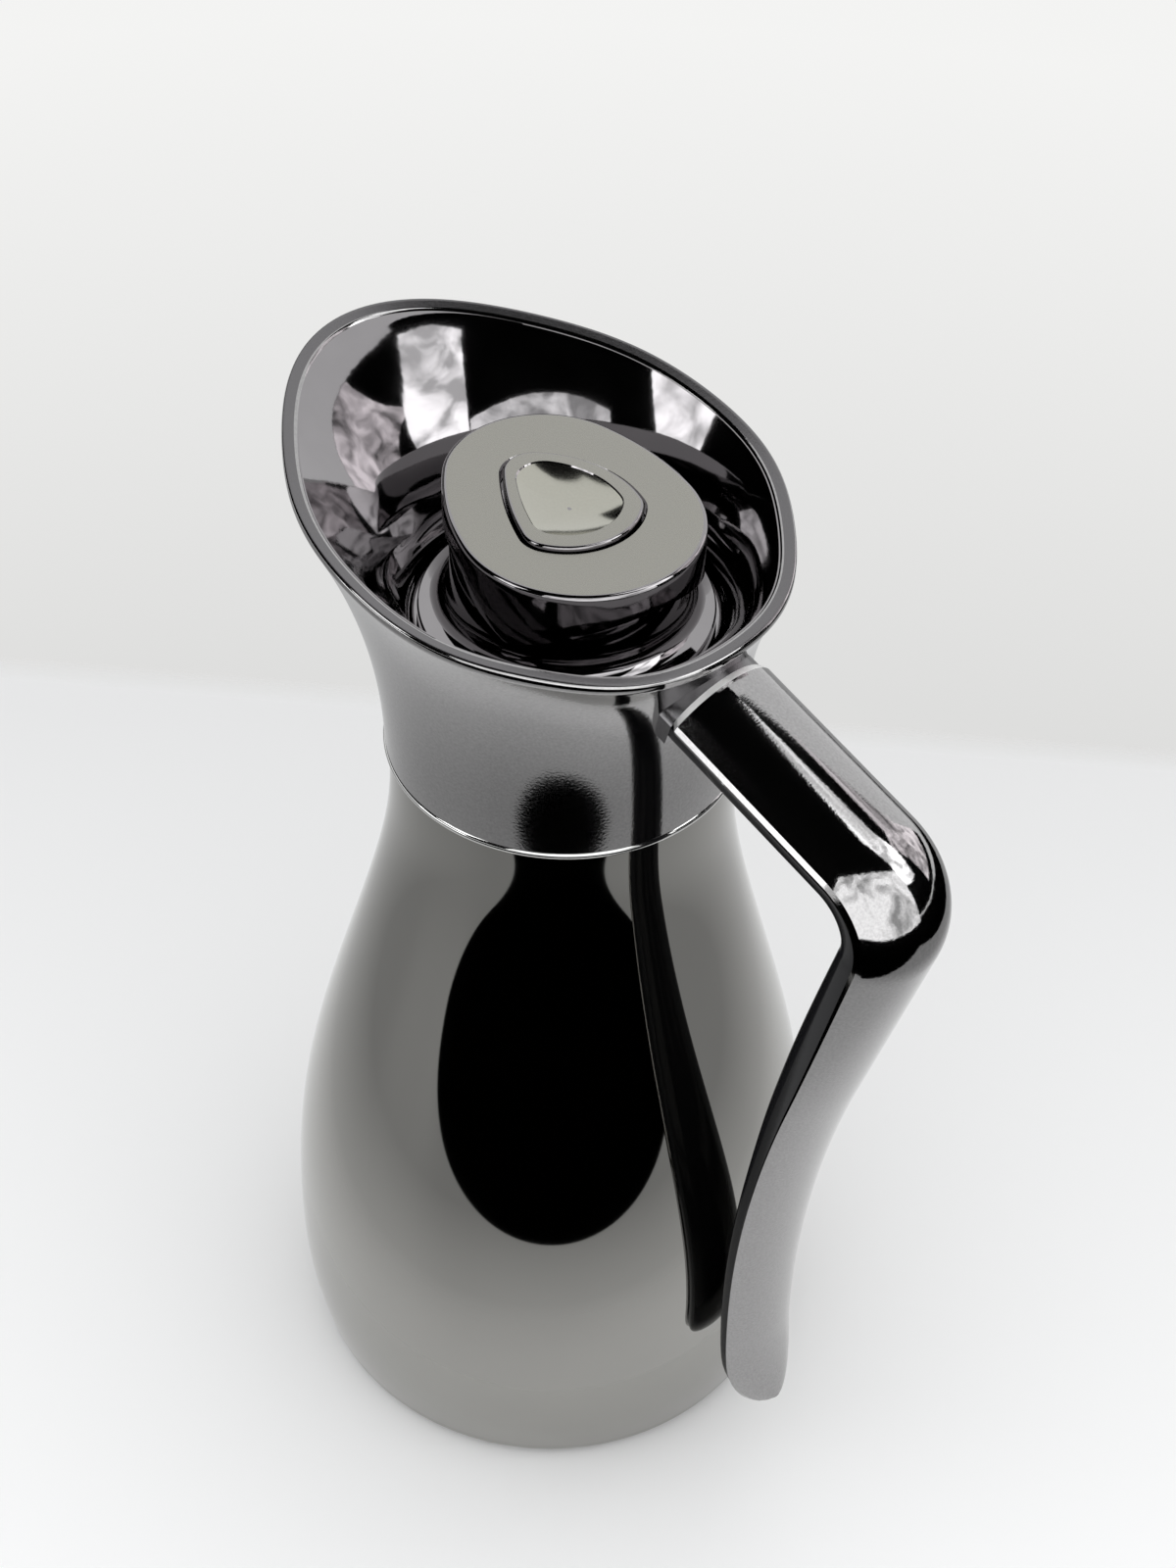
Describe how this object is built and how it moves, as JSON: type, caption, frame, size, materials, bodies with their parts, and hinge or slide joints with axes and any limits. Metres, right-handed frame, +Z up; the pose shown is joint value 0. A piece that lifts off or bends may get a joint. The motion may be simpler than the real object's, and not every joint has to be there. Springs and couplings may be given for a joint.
{
  "type": "thermal jug",
  "caption": "Pear-shaped thermal jug in dark chrome with a flared egg-shaped pouring collar, a cantilever handle and a screw-in stopper with a press button.",
  "frame": {"origin": "on the jug's axis, in the plane of the table that it stands on", "axes": "+Z up along the jug's axis, +X towards the handle, -X towards the spout"},
  "size_m": [0.1765, 0.1336, 0.2745],
  "materials": {
    "casing": "dark chrome plated, mirror polished",
    "trim": "polished",
    "plated_plastic": "dark chrome plated, fine grain",
    "funnel_plastic": "dark chrome plated, glossy",
    "inner_plastic": "moulded, satin",
    "rubber": "matte",
    "silicone": "translucent silicone",
    "glass": "silvered",
    "steel": "bright"
  },
  "bodies": {
    "jug": {"outer_casing": "casing", "waist_ring": "trim", "foot_ring": "rubber", "base_cover": "inner_plastic", "liner_support": "inner_plastic", "liner_cushion": "rubber", "liner_outer_wall": "glass", "liner_inner_wall": "glass", "mouth_gasket": "silicone", "neck_nut": "inner_plastic", "collar": "plated_plastic", "pour_funnel": "funnel_plastic", "handle_shell": "plated_plastic", "handle_cover": "funnel_plastic", "handle_screws": "steel"},
    "seal": {"plug_seal": "silicone"},
    "stopper": {"stopper_cap": "plated_plastic", "stopper_plug": "inner_plastic", "button_spring": "steel"},
    "button": {"press_button": "plated_plastic", "valve_stem": "inner_plastic", "valve_disc": "inner_plastic", "valve_seal": "silicone", "stem_clip": "steel"}
  },
  "joints": [
    {"name": "stopper_rise", "type": "slide", "parent": "jug", "child": "seal", "axis": [0, 0, 1], "range_m": [0, 0.018]},
    {"name": "stopper_turn", "type": "hinge", "parent": "seal", "child": "stopper", "pos_m": [0, 0, 0.2], "axis": [0, 0, 1], "range_deg": [0, 540]},
    {"name": "button_press", "type": "slide", "parent": "stopper", "child": "button", "axis": [0, 0, -1], "range_m": [0, 0.004], "stiffness_N_per_m": 400, "springref_m": -0.003, "deforming": ["button_spring"]}
  ],
  "couplings": [
    {"joint": "stopper_rise", "follows": "stopper_turn", "m_per_rad": 0.0019099}
  ]
}
